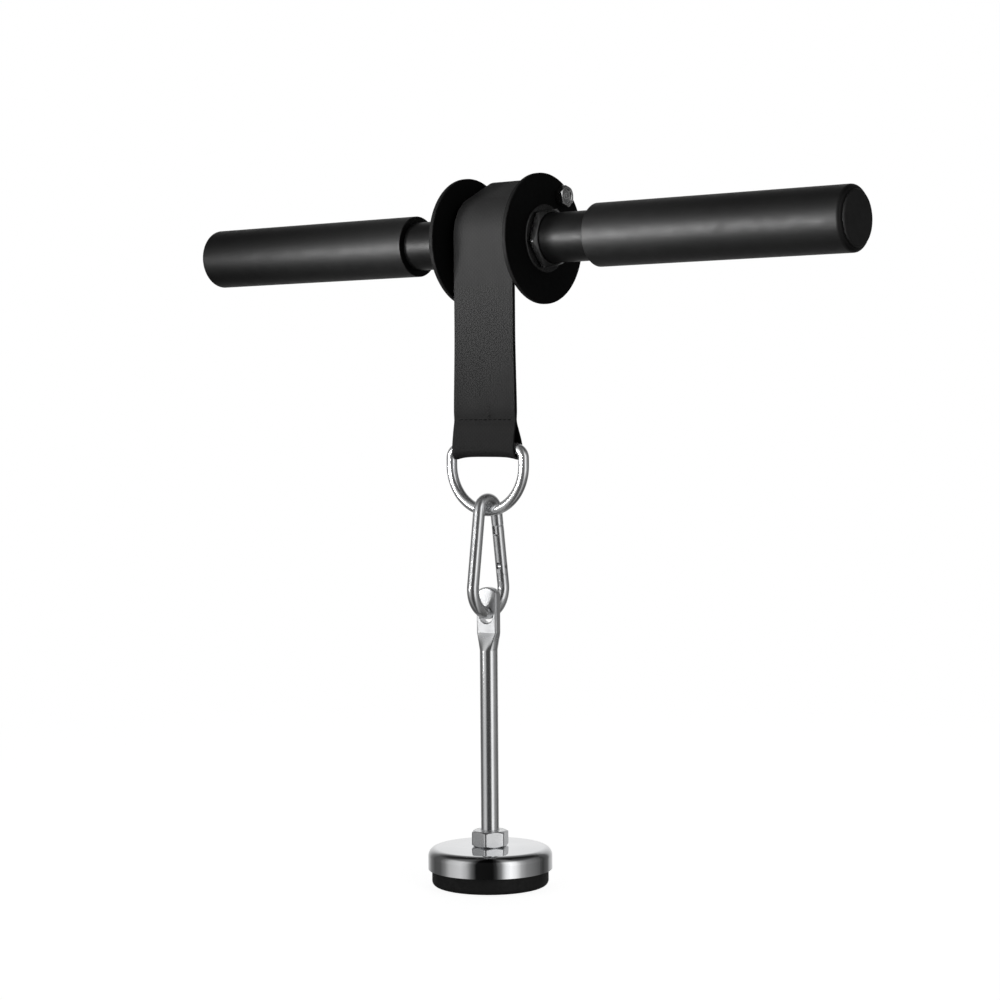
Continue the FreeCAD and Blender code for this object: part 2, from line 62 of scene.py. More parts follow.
def finish_mesh(name, bm, sharp=38.0):
    """Turns a bmesh in millimetres into an object in metres, smooth with sharp edges kept."""
    bmesh.ops.recalc_face_normals(bm, faces=bm.faces)
    bmesh.ops.scale(bm, vec=(MM, MM, MM), verts=bm.verts)
    mesh = bpy.data.meshes.new(name)
    bm.to_mesh(mesh)
    bm.free()
    mesh.shade_smooth()
    mesh.set_sharp_from_angle(angle=math.radians(sharp))
    piece = bpy.data.objects.new(name, mesh)
    scene.collection.objects.link(piece)
    return piece


def skin(bm, rings, u_marks, v_marks, caps=True):
    """Rings of points joined into a tube, with UVs in metres; caps close its two ends."""
    uv = bm.loops.layers.uv.verify()
    count = len(rings[0])
    grid = [[bm.verts.new(p) for p in ring] for ring in rings]
    for i in range(len(rings) - 1):
        for j in range(count):
            k = (j + 1) % count
            face = bm.faces.new((grid[i][j], grid[i][k], grid[i + 1][k], grid[i + 1][j]))
            marks = ((j, i), (j + 1, i), (j + 1, i + 1), (j, i + 1))
            for loop, (a, b) in zip(face.loops, marks):
                loop[uv].uv = (u_marks[a] * MM, v_marks[b] * MM)
    if caps:
        bm.faces.new(grid[0])
        bm.faces.new(grid[-1])


def place(piece, body, slot, material, *replaced):
    """Gives a piece its material and body and hides the CAD nodes it stands for; slot is not used.
    """
    piece.data.materials.append(material)
    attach(piece, body)
    if replaced:
        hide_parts(*replaced)


# ---- materials ----------------------------------------------------------------------------------
class Surface:
    """A Principled material put together from a few procedural layers."""

    def __init__(self, name, coords="Object"):
        self.material = bpy.data.materials.new(name)
        self.material.use_nodes = True
        self.tree = self.material.node_tree
        self.shader = self.tree.nodes["Principled BSDF"]
        self.coords = self.node("ShaderNodeTexCoord").outputs[coords]

    def node(self, kind, **settings):
        made = self.tree.nodes.new(kind)
        for key, value in settings.items():
            setattr(made, key, value)
        return made

    def plug(self, value, socket):
        if isinstance(value, bpy.types.NodeSocket):
            self.tree.links.new(value, socket)
        else:
            socket.default_value = value

    def math(self, operation, a, b=0.0, c=0.0):
        made = self.node("ShaderNodeMath", operation=operation)
        for value, socket in zip((a, b, c), made.inputs):
            self.plug(value, socket)
        return made.outputs[0]

    def split(self, vector):
        made = self.node("ShaderNodeSeparateXYZ")
        self.plug(vector, made.inputs[0])
        return made.outputs

    def stretched(self, scale):
        made = self.node("ShaderNodeMapping")
        self.plug(self.coords, made.inputs["Vector"])
        made.inputs["Scale"].default_value = scale
        return made.outputs[0]

    def noise(self, scale, detail=4.0, roughness=0.5, stretch=None):
        made = self.node("ShaderNodeTexNoise")
        self.plug(self.stretched(stretch) if stretch else self.coords, made.inputs["Vector"])
        made.inputs["Scale"].default_value = scale
        made.inputs["Detail"].default_value = detail
        made.inputs["Roughness"].default_value = roughness
        return made.outputs[0]

    def ranged(self, value, low, high, start=0.0, end=1.0):
        made = self.node("ShaderNodeMapRange")
        for item, socket in zip((value, start, end, low, high), made.inputs):
            self.plug(item, socket)
        return made.outputs[0]

    def ramp(self, value, *stops):
        made = self.node("ShaderNodeValToRGB")
        self.plug(value, made.inputs[0])
        elements = made.color_ramp.elements
        while len(elements) < len(stops):
            elements.new(0.5)
        for element, (spot, color) in zip(elements, stops):
            element.position = spot
            element.color = (*color, 1.0)
        return made.outputs[0]

    def mix(self, share, a, b):
        made = self.node("ShaderNodeMix", data_type="RGBA")
        self.plug(share, made.inputs[0])
        for value, socket in ((a, made.inputs[6]), (b, made.inputs[7])):
            self.plug((*value, 1.0) if isinstance(value, tuple) else value, socket)
        return made.outputs[2]

    def bump(self, height, depth_mm, under=None):
        made = self.node("ShaderNodeBump")
        made.inputs["Strength"].default_value = 1.0
        made.inputs["Distance"].default_value = depth_mm * MM
        self.plug(height, made.inputs["Height"])
        if under is not None:
            self.plug(under, made.inputs["Normal"])
        return made.outputs[0]

    def done(self, color, roughness, normal=None, **constants):
        self.plug((*color, 1.0) if isinstance(color, tuple) else color,
                  self.shader.inputs["Base Color"])
        self.plug(roughness, self.shader.inputs["Roughness"])
        if normal is not None:
            self.plug(normal, self.shader.inputs["Normal"])
        for key, value in constants.items():
            self.shader.inputs[key.replace("_", " ")].default_value = value
        return self.material


def grey(value):
    return (value, value, value)


def grip_rubber():
    s = Surface("grip_rubber")
    cloud = s.noise(34.0, 5.0)
    grain = s.noise(1700.0, 3.0, 0.6)
    color = s.ramp(cloud, (0.25, grey(0.0040)), (0.75, grey(0.0062)))
    rough = s.ranged(s.noise(210.0, 4.0), 0.47, 0.56, 0.3, 0.7)
    return s.done(color, rough, s.bump(grain, 0.035, s.bump(cloud, 0.25)), Specular_IOR_Level=0.3)


def cap_plastic():
    s = Surface("cap_plastic")
    color = s.ramp(s.noise(120.0, 4.0), (0.3, grey(0.009)), (0.7, grey(0.014)))
    rough = s.ranged(s.noise(300.0, 3.0), 0.62, 0.75, 0.3, 0.7)
    return s.done(color, rough, s.bump(s.noise(2600.0, 2.0), 0.02))


def tube_paint():
    s = Surface("tube_paint")
    color = s.ramp(s.noise(60.0, 4.0), (0.3, grey(0.003)), (0.7, grey(0.005)))
    rough = s.ranged(s.noise(260.0, 4.0), 0.40, 0.50, 0.3, 0.7)
    return s.done(color, rough, s.bump(s.noise(900.0, 2.0), 0.012), Specular_IOR_Level=0.18)


def flange_paint():
    s = Surface("flange_paint")
    color = s.ramp(s.noise(70.0, 4.0), (0.3, grey(0.0012)), (0.7, grey(0.0022)))
    rough = s.ranged(s.noise(330.0, 4.0), 0.64, 0.76, 0.3, 0.7)
    return s.done(color, rough, s.bump(s.noise(1400.0, 3.0), 0.02), Specular_IOR_Level=0.16)


def black_oxide(name, across_flats=None):
    """Black oxide; with across_flats, the corners of a hexagon about X get a painted highlight."""
    s = Surface(name)
    mottle = s.noise(420.0, 5.0, 0.6)
    color = s.ramp(mottle, (0.3, grey(0.040)), (0.75, grey(0.085)))
    rough = s.ranged(mottle, 0.16, 0.27, 0.3, 0.75)
    if across_flats:
        _, y, z = s.split(s.coords)
        radius = s.math("SQRT", s.math("MULTIPLY_ADD", y, y, s.math("MULTIPLY", z, z)))
        corner = across_flats / math.sqrt(3) * MM
        # painted highlight: the colour turns lighter at the hexagon's corners, in patches
        corner_highlight = s.ranged(radius, 0.0, 1.0, corner * 0.95, corner * 1.0)
        corner_highlight = s.math("MULTIPLY", corner_highlight, s.ranged(mottle, 0.2, 1.0, 0.35, 0.6))
        color = s.mix(corner_highlight, color, grey(0.11))
    return s.done(color, rough, s.bump(mottle, 0.012), Metallic=0.6)


def zinc():
    s = Surface("zinc_plating")
    spangle = s.noise(520.0, 5.0, 0.65)
    color = s.ramp(spangle, (0.3, grey(0.66)), (0.7, grey(0.86)))
    rough = s.ranged(s.noise(900.0, 3.0), 0.16, 0.28, 0.3, 0.7)
    return s.done(color, rough, s.bump(spangle, 0.02), Metallic=1.0)


def chrome():
    s = Surface("chrome")
    cloud = s.noise(45.0, 3.0)
    wave = s.noise(160.0, 3.0, 0.45)
    color = s.ramp(cloud, (0.3, (0.80, 0.81, 0.825)), (0.7, (0.88, 0.885, 0.895)))
    smear = s.noise(90.0, 5.0, 0.6)
    rough = s.ranged(smear, 0.035, 0.10, 0.35, 0.7)
    return s.done(color, rough, s.bump(wave, 0.020), Metallic=1.0)


NICKEL_METAL = 0.80         # share of the plating that shines as metal
FORGED_METAL = 0.70
FORGED_DULLER = 0.16        # added to the roughness of the forged part


def nickel(name, low, high, tone=0.96, forged=None):
    """Tumbled nickel plating: a softer shine than chrome, with fine dulled specks.

    forged gives the heights, in metres, between which the plating turns duller and whiter.
    """
    s = Surface(name)
    cloud = s.noise(70.0, 4.0)
    speck = s.noise(1100.0, 3.0, 0.55)
    color = s.ramp(cloud, (0.3, (0.94 * tone, 0.95 * tone, 0.965 * tone)),
                   (0.7, (1.02 * tone, 1.025 * tone, 1.03 * tone)))
    rough = s.ranged(s.noise(150.0, 4.0), low, high, 0.3, 0.7)
    metal = NICKEL_METAL
    if forged:
        share = s.ranged(s.split(s.coords)[2], 0.0, 1.0, *forged)
        rough = s.math("MULTIPLY_ADD", share, FORGED_DULLER, rough)
        metal = s.ranged(share, NICKEL_METAL, FORGED_METAL)
    s.plug(metal, s.shader.inputs["Metallic"])
    return s.done(color, rough, s.bump(speck, 0.004, s.bump(cloud, 0.03)),
                  Sheen_Weight=0.35, Sheen_Roughness=0.3)


def pad_rubber():
    s = Surface("pad_rubber")
    color = s.ramp(s.noise(90.0, 5.0), (0.3, grey(0.010)), (0.7, grey(0.018)))
    rough = s.ranged(s.noise(500.0, 3.0), 0.62, 0.78, 0.3, 0.7)
    return s.done(color, rough, s.bump(s.noise(1500.0, 4.0, 0.6), 0.05))


WARP_MM = 1.15              # pitch of the warp cords across the webbing
WEFT_MM = 2.1               # length of one cord's float
SEWN_SHADE_REACH = 4.2             # reach of the painted shade at a row of stitching
SEWN_SHADE_LEVEL = 0.5             # brightness of that painted shade beside the plain cloth


def webbing_cloth(name, base=0.0088, painted_shade_rows=()):
    """Plain-woven webbing: staggered oval floats in cords that run along the strap.

    A band of painted shade darkens the cloth at a row of stitching, at a given length along it,
    where the stitches pull the cloth in.
    """
    s = Surface(name, "UV")
    u, v, _ = s.split(s.coords)
    cord = s.math("DIVIDE", u, WARP_MM * MM)
    stagger = s.math("MULTIPLY", s.math("FLOORED_MODULO", s.math("FLOOR", cord), 2.0), 0.5)
    float_v = s.math("FRACT", s.math("ADD", s.math("DIVIDE", v, WEFT_MM * MM), stagger))
    side = s.math("SUBTRACT", s.math("MULTIPLY", s.math("FRACT", cord), 2.0), 1.0)
    round_u = s.math("SQRT", s.math("MAXIMUM", s.math("MULTIPLY_ADD", side,
                                                      s.math("MULTIPLY", side, -1.0), 1.0), 0.0))
    round_v = s.math("SINE", s.math("MULTIPLY", float_v, math.pi))
    lump = s.math("MULTIPLY", round_u, s.math("MULTIPLY_ADD", round_v, 0.6, 0.4))
    fibre = s.noise(1.0, 3.0, 0.6, stretch=(9000.0, 900.0, 1.0))
    cloud = s.noise(1.0, 4.0, 0.5, stretch=(130.0, 40.0, 1.0))
    # the gaps between the floats get a painted shade; cloud and fibre vary the tone at random
    shade = s.math("MULTIPLY", s.ranged(lump, 0.45, 1.0), s.ranged(cloud, 0.86, 1.14, 0.3, 0.7))
    shade = s.math("MULTIPLY", shade, s.ranged(fibre, 0.85, 1.15, 0.3, 0.7))
    # painted shade: a dark band across the cloth at each row of stitching
    for row in painted_shade_rows:
        off = s.math("DIVIDE", s.math("SUBTRACT", v, row * MM), SEWN_SHADE_REACH * MM)
        row_shade = s.math("EXPONENT", s.math("MULTIPLY", s.math("MULTIPLY", off, off), -1.0))
        shade = s.math("MULTIPLY", shade, s.ranged(row_shade, 1.0, SEWN_SHADE_LEVEL))
    color = s.ramp(shade, (0.0, grey(0.1 * base)), (1.0, grey(1.25 * base)))
    normal = s.bump(lump, 0.07, s.bump(fibre, 0.015))
    return s.done(color, s.ranged(fibre, 0.66, 0.8, 0.3, 0.7), normal, Specular_IOR_Level=0.2)


def sewing_thread(name, low, high):
    s = Surface(name)
    color = s.ramp(s.noise(2500.0, 2.0), (0.3, grey(low)), (0.7, grey(high)))
    return s.done(color, 0.85, s.bump(s.noise(4000.0, 2.0), 0.03), Specular_IOR_Level=0.1)


HUB_NUT_FLATS = 28.6        # across flats, mm
EYE_NECK = (-0.212, -0.200)     # heights between which the rod turns into the forged eye

GRIP = grip_rubber()
CAP = cap_plastic()
TUBE = tube_paint()
FLANGE = flange_paint()
WASHER_LOOK = black_oxide("black_oxide_washer")
HUB_NUT_LOOK = black_oxide("black_oxide_nut", HUB_NUT_FLATS)
ZINC = zinc()
CHROME = chrome()
NICKEL = nickel("nickel_hook", 0.15, 0.22)
NICKEL_ROD = nickel("nickel_rod", 0.12, 0.18, forged=EYE_NECK)
NICKEL_SOFT = nickel("nickel_nut", 0.20, 0.28, 0.97)
PAD = pad_rubber()
WEBBING = webbing_cloth("webbing_cloth")
THREAD = sewing_thread("sewing_thread", 0.0015, 0.004)
TACK_THREAD = sewing_thread("tack_thread", 0.016, 0.032)

CAD_LOOKS = {
    "roller_tube": TUBE, "spool_sleeve": TUBE, "grip_right": GRIP, "grip_left": GRIP,
    "end_cap_right": CAP, "end_cap_left": CAP, "flange_right": FLANGE, "flange_left": FLANGE,
    "hub_washer_right": WASHER_LOOK, "hub_washer_left": WASHER_LOOK,
    "hub_nut_right": HUB_NUT_LOOK, "hub_nut_left": HUB_NUT_LOOK,
    "cross_bolt": ZINC, "cross_bolt_nut": ZINC, "strap_roll": WEBBING, "strap_hanging": WEBBING,
    "d_ring": NICKEL, "snap_hook": NICKEL, "gate_pin": ZINC, "hook_gate": NICKEL,
    "gate_spring": ZINC, "gate_plunger": ZINC, "loading_rod": NICKEL_ROD, "foot_nut": NICKEL_SOFT,
    "foot_inner_nut": ZINC, "foot_cup": CHROME, "foot_pad": PAD}
for node_name, look in CAD_LOOKS.items():
    for holder in nodes[node_name].material_slots:
        holder.material = look


# ---- strap --------------------------------------------------------------------------------------
BOLT_SPOT = (14.8, 22.3)    # Y and Z of the cross bolt
STRAP_W = 38.0
LAYER_T = 1.15              # one layer of webbing; the CAD allows 1.2 for each
PITCH = 1.2                 # from one layer's middle to the next
FRONT_Y = -20.0             # front face of the hanging strap
LEAVE_Z = -2.5              # the strap leaves the roll here
FRONT_ARC = ((1.5, 3.0), 21.5)      # centre (Y, Z) and radius of the outer layer
BOLT_ARC = (BOLT_SPOT, 10.0)
LOW_ARC = ((-1.5, LEAVE_Z), 18.5)
TOP_TOUCH = 116.05          # angle of the straight run between the front arc and the bolt
LOW_TOUCH = -16.68          # angle of the straight run between the bolt and the low arc
DIVE_FROM = -70.0           # from this angle of the low arc, a layer passes inside itself
DIVE_SPAN = 110.0
INNER_END = -120.0          # angle at the bolt where the wound layers end
RING_Y = -17.3
RING_BAR_Z = -106.7
STITCH_Z = -92.0
LOOP_R = 3.78               # middle of the layer round the D-ring's bar
SCALLOP = 2.1               # pitch of the little lumps along the selvedge
SCALLOP_H = 0.11
SEWN_THIN = 0.42            # the stitching squeezes each layer by this share
SEWN_REACH = 2.6
FLARE_Z = -45.0             # the strap starts to spread here
FLARE_RUN = 50.0
FLARE = 0.045
CORNER_DROP = 1.5           # how much lower the sewn loop's corners hang


def strap_section(width, thick, columns=26, corner=5):
    """Cross-section of webbing as (x, n) corners, anticlockwise from the lower left selvedge."""
    r = thick / 2
    flat = width / 2 - r
    points = [(-flat + 2 * flat * k / columns, r) for k in range(columns + 1)]
    points += [(flat + r * math.sin(math.pi * k / corner), r * math.cos(math.pi * k / corner))
               for k in range(1, corner)]
    points += [(flat - 2 * flat * k / columns, -r) for k in range(columns + 1)]
    points += [(-flat - r * math.sin(math.pi * k / corner), -r * math.cos(math.pi * k / corner))
               for k in range(1, corner)]
    return points


def strap_band(bm, path, swell, phase=0.0):
    """Sweeps the webbing's cross-section along a path of (y, z) points in the YZ plane.

    swell(x, z) gives the width factor, thickness factor and drop of a point of the band.
    """
    section = strap_section(STRAP_W, LAYER_T)
    girth = [0.0]
    for a, b in zip(section, section[1:] + section[:1]):
        girth.append(girth[-1] + math.hypot(b[0] - a[0], b[1] - a[1]))
    runs = [0.0]
    for a, b in zip(path, path[1:]):
        runs.append(runs[-1] + math.hypot(b[0] - a[0], b[1] - a[1]))
    rings = []
    for i, (y, z) in enumerate(path):
        before, after = path[max(0, i - 1)], path[min(len(path) - 1, i + 1)]
        dy, dz = after[0] - before[0], after[1] - before[1]
        size = math.hypot(dy, dz)
        ny, nz = -dz / size, dy / size
        ring = []
        for x, n in section:
            wider, thicker, drop = swell(x, z)
            edge = abs(x) > STRAP_W / 2 - LAYER_T / 2 + 0.01
            lump = SCALLOP_H * math.cos(2 * math.pi * (runs[i] + phase) / SCALLOP) if edge else 0.0
            ring.append((x * wider + math.copysign(lump, x), y + ny * n * thicker,
                         z + nz * n * thicker - drop))
        rings.append(ring)
    skin(bm, rings, girth, runs)


def arc_points(circle, inset, start, end, step=0.9):
    """Points on a circle made smaller by inset(angle), between two angles in degrees."""
    (cy, cz), radius = circle
    count = max(8, int(abs(end - start) * math.pi / 180 * radius / step))
    points = []
    for k in range(count + 1):
        angle = start + (end - start) * k / count
        r = radius - inset(angle)
        points.append((cy + r * math.cos(math.radians(angle)),
                       cz + r * math.sin(math.radians(angle))))
    return points


def joined(*stretches, step=1.5):
    """Stretches of a path put end to end, with points added along the straight runs between them."""
    path = list(stretches[0])
    for stretch in stretches[1:]:
        (y0, z0), (y1, z1) = path[-1], stretch[0]
        count = max(1, round(math.hypot(y1 - y0, z1 - z0) / step))
        path += [(y0 + (y1 - y0) * k / count, z0 + (z1 - z0) * k / count)
                 for k in range(1, count)]
        path += stretch
    return path


def roll_path(depth):
    """One layer of the wound strap: a full turn, then inside itself and round the cross bolt."""
    def level(_):
        return depth

    def dive(angle):
        return depth + 2 * PITCH * smoothstep((DIVE_FROM - angle) / DIVE_SPAN)

    def inner(_):
        return depth + 2 * PITCH

    first = arc_points(FRONT_ARC, level, 180, TOP_TOUCH)
    over = arc_points(BOLT_ARC, level, TOP_TOUCH, LOW_TOUCH)
    low = arc_points(LOW_ARC, dive, LOW_TOUCH, -180)
    inner_front = arc_points(FRONT_ARC, inner, 180, TOP_TOUCH)
    inner_over = arc_points(BOLT_ARC, inner, TOP_TOUCH, INNER_END)
    return joined([(first[0][0], LEAVE_Z)], first, over, low, inner_front, inner_over)


def still(x, z):
    """The swell of a band that keeps its width and thickness."""
    return 1.0, 1.0, 0.0


bm = bmesh.new()
for layer in range(2):
    strap_band(bm, roll_path(PITCH * (layer + 0.5)), still, 0.9 * layer)
place(finish_mesh("strap_winding", bm), "roller", "webbing", WEBBING, "strap_roll")


def sewn_in(z):
    """How far the row of stitching pulls a layer in at height z, from 0 to 1."""
    return math.exp(-((z - STITCH_Z) / SEWN_REACH) ** 2)


def hanging_path():
    """Down the front layer, round the D-ring's bar and up the back layer."""
    front_y, back_y = FRONT_Y + PITCH / 2, FRONT_Y + 1.5 * PITCH
    step, turns = 0.42, 26

    def layer_y(plain, side, z):
        t = smoothstep((STITCH_Z - z) / (STITCH_Z - RING_BAR_Z))
        pull = SEWN_THIN * LAYER_T / 2 * sewn_in(z)
        return plain + (RING_Y + side * LOOP_R - plain) * t - side * pull

    points = []
    z = LEAVE_Z
    while z > RING_BAR_Z:
        points.append((layer_y(front_y, -1, z), z))
        z -= step
    for k in range(turns + 1):
        angle = math.pi + math.pi * k / turns
        points.append((RING_Y + LOOP_R * math.cos(angle), RING_BAR_Z + LOOP_R * math.sin(angle)))
    z = RING_BAR_Z + step
    while z < LEAVE_Z:
        points.append((layer_y(back_y, 1, z), z))
        z += step
    points.append((back_y, LEAVE_Z))
    return points


def loop_swell(x, z):
    """The strap spreads towards its sewn loop, and the loop's corners hang lower than its middle."""
    t = smoothstep((FLARE_Z - z) / FLARE_RUN)
    low = smoothstep((STITCH_Z - 4.0 - z) / 12.0)
    drop = CORNER_DROP * low * (2 * x / STRAP_W) ** 4
    return 1.0 + FLARE * t, 1.0 - SEWN_THIN * sewn_in(z), drop


bm = bmesh.new()
drop_path = hanging_path()
strap_band(bm, drop_path, loop_swell)
drop_run = sum(math.hypot(b[0] - a[0], b[1] - a[1]) for a, b in zip(drop_path, drop_path[1:]))
first_row = LEAVE_Z - STITCH_Z - 1.5        # length along the strap to the row, at its front
hanging = finish_mesh("strap_drop", bm)
hanging.data.materials.append(webbing_cloth("webbing_sewn_painted_shade",
                                            painted_shade_rows=(first_row, drop_run - first_row)))
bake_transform(hanging)
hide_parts("strap_hanging")


def stitch(bm, centre, along, length, radius=0.26):
    """One stitch: a short thread, bowed out of the cloth in its middle."""
    along = Vector(along).normalized()
    out = Vector((0, math.copysign(1.0, centre[1] - (FRONT_Y + PITCH)), 0))
    side = along.cross(out)
    rings = []
    steps, around = 8, 8
    for i in range(steps + 1):
        t = i / steps * 2 - 1
        size = radius * math.sqrt(max(0.02, 1 - t ** 4))
        middle = Vector(centre) + along * (t * length / 2) + out * (0.16 * (1 - t * t) - 0.08)
        rings.append([middle + (side * math.cos(a) + out * math.sin(a)) * size
                      for a in (2 * math.pi * k / around for k in range(around))])
    skin(bm, rings, [0.0] * (around + 1), [0.0] * (steps + 1))


FRONT_FACE = FRONT_Y + PITCH / 2 - LAYER_T / 2
BACK_FACE = FRONT_Y + 1.5 * PITCH + LAYER_T / 2
SEWN_DEPTH = SEWN_THIN * LAYER_T - 0.05
ROW_PITCH = 3.1
ROW_STITCH = 2.5
TACK_X = 3.3
TACK_PITCH = 0.72
bm = bmesh.new()
for k in range(-5, 6):
    for face_y in (FRONT_FACE + SEWN_DEPTH, BACK_FACE - SEWN_DEPTH):
        stitch(bm, (k * ROW_PITCH + 0.4, face_y, STITCH_Z), (1, 0, 0.02), ROW_STITCH)
place(finish_mesh("strap_stitching", bm), "strap", "webbing", THREAD)
bm = bmesh.new()
for k in range(10):
    for face_y in (FRONT_FACE, BACK_FACE):
        centre = (TACK_X, face_y, STITCH_Z + 1.2 + TACK_PITCH * k)
        stitch(bm, centre, (1, 0, 0.3 * (-1) ** k), 2.0, 0.2)
place(finish_mesh("strap_bar_tack", bm), "strap", "webbing", TACK_THREAD)


# ---- washers, nuts and bolt ---------------------------------------------------------------------
FLANGE_FACE = 24.6          # outer face of each disc
WASHER = (17.4, 1.2)        # radius, thickness
HUB_NUT = (HUB_NUT_FLATS, 4.4, 12.7)    # across flats, height, bore
HUB_TURN = {"right": 40.0, "left": 140.0}    # angle of a corner: the two sides are mirrored
FOOT_NUT = (17.0, 8.2, 4.6, -7.7)       # as above, with the angle of a corner
BOLT_HEAD = (10.0, 4.0, 0.0, 12.0)
BOLT_R = 3.0
BOLT_TIP = -31.6
THREAD_PITCH = 1.0
THREAD_DEPTH = 0.32
LOCK_NUT = (10.0, 5.0, 3.0, 5.0)
COLLAR_H = 1.2              # height of the lock nut's round collar
SEAT_Z = -310.8             # top of the cup
BEVEL_SHARE = 0.955         # diameter of the flat end of a hexagon, beside its flats
CORNER_SHARE = 0.985        # slightly rounded corners
BEVEL = math.radians(30)
WELD = 1e-5


def soft_min(a, b, hardness=70.0):
    """The smaller of two lengths, rounded off where they are nearly equal."""
    return (a ** -hardness + b ** -hardness) ** (-1 / hardness)


def frame_along(axis):
    """Two directions across an axis, as the CAD turns its own X and Y onto it, and the axis."""
    turned = Vector((0, 0, 1)).rotation_difference(Vector(axis))
    return turned @ Vector((1, 0, 0)), turned @ Vector((0, 1, 0)), Vector(axis)


def turned_rings(profiles, base, axis, count=144):
    """Rings about an axis; each profile is (along, radius(angle in degrees))."""
    side, across, ahead = frame_along(axis)
    rings = []
    for along, radius in profiles:
        ring = []
        for k in range(count):
            angle = 360.0 * k / count
            r = radius(angle)
            ring.append(Vector(base) + ahead * along
                        + (side * math.cos(math.radians(angle))
                           + across * math.sin(math.radians(angle))) * r)
        rings.append(ring)
    return rings


def round_of(radius):
    return lambda angle: radius


def hexagon_of(across, corner_turn, limit):
    """Hexagon with slightly rounded corners, cut off where it leaves a circle of radius limit."""
    flat = across / 2
    corner = across / math.sqrt(3) * CORNER_SHARE

    def radius(angle):
        off = (angle - corner_turn) % 60.0 - 30.0
        return soft_min(soft_min(flat / math.cos(math.radians(off)), corner, 220.0), limit)
    return radius


def hex_profiles(across, height, bore, corner_turn):
    """Outside of a nut or bolt head from its base to its top, both ends bevelled by 30 degrees."""
    face = across / 2 * BEVEL_SHARE
    depth = (across / math.sqrt(3) - face) * math.tan(BEVEL)
    marks = [0.04, 0.1, 0.18, 0.28, 0.4, 0.52, 0.64, 0.76, 0.9, 1.05, 1.3]
    marks = [m * min(depth, height * 0.36) for m in marks]
    ramp = 1 / math.tan(BEVEL)
    rise = [(m, hexagon_of(across, corner_turn, face + m * ramp)) for m in marks]
    fall = [(height - m, shape) for m, shape in reversed(rise)]
    inside = [(0.0, round_of(face - 0.25))]
    outside = [(height, round_of(face - 0.25))]
    if bore:
        lead = 0.45
        inside = [(height - lead, round_of(bore)), (lead, round_of(bore)),
                  (0.0, round_of(bore + lead)), (0.0, round_of(face - 0.25))]
        outside = [(height, round_of(face - 0.25)), (height, round_of(bore + lead)),
                   (height - lead, round_of(bore))]
    return inside + rise + fall + outside


def add_rings(bm, rings, caps):
    """Skins rings whose material takes no notice of UVs."""
    skin(bm, rings, [float(k) for k in range(len(rings[0]) + 1)],
         [float(k) for k in range(len(rings))], caps)


def hex_piece(name, shape, base, axis, body, slot, material, node):
    bm = bmesh.new()
    add_rings(bm, turned_rings(hex_profiles(*shape), base, axis), not shape[2])
    bmesh.ops.remove_doubles(bm, verts=bm.verts, dist=WELD)
    place(finish_mesh(name, bm, 30.0), body, slot, material, node)


def washer_piece(name, start, axis, node):
    radius, thick = WASHER
    edge = 0.85
    profiles = [(thick, HUB_NUT[2]), (0.0, HUB_NUT[2]), (0.0, radius - 0.15), (0.15, radius)]
    profiles += [(thick - edge * (1 - math.sin(a)), radius - edge * (1 - math.cos(a)))
                 for a in (math.radians(15 * k) for k in range(7))]
    profiles += [(thick, HUB_NUT[2])]
    bm = bmesh.new()
    add_rings(bm, turned_rings([(a, round_of(r)) for a, r in profiles], (start, 0, 0), axis), False)
    bmesh.ops.remove_doubles(bm, verts=bm.verts, dist=WELD)
    place(finish_mesh(name, bm, 30.0), "roller", "black_hardware", WASHER_LOOK, node)


for side, label in ((1, "right"), (-1, "left")):
    axis = (side, 0, 0)
    washer_piece("washer_" + label, side * FLANGE_FACE, axis, "hub_washer_" + label)
    hex_piece("spool_nut_" + label, (*HUB_NUT, HUB_TURN[label]),
              (side * (FLANGE_FACE + WASHER[1]), 0, 0), axis, "roller", "black_hardware",
              HUB_NUT_LOOK, "hub_nut_" + label)
hex_piece("pin_nut", FOOT_NUT, (0, RING_Y, SEAT_Z), (0, 0, 1), "loading_pin", "chrome", NICKEL_SOFT,
          "foot_nut")


def threaded(along):
    """Radius of the bolt's shank: smooth inside the spool, with a thread at its end."""
    depth = THREAD_DEPTH * smoothstep((-FLANGE_FACE + 1.0 - along) / 1.5)
    tip = max(0.0, 0.5 - (along - BOLT_TIP))

    def radius(angle):
        wave = abs(((along / THREAD_PITCH + angle / 360.0) % 1.0) * 2.0 - 1.0)
        return BOLT_R - depth * wave - tip
    return radius


def dished(profiles, top):
    """Sinks the top of a bolt head: a bevelled round hollow with a small boss left in its middle."""
    hollow = [(top, 3.75), (top - 0.12, 3.5), (top - 0.7, 3.1), (top - 0.8, 2.8), (top - 0.8, 1.7),
              (top - 0.7, 1.45), (top - 0.35, 1.2), (top - 0.25, 0.9), (top - 0.25, 0.05)]
    return profiles + [(a, round_of(r)) for a, r in hollow]


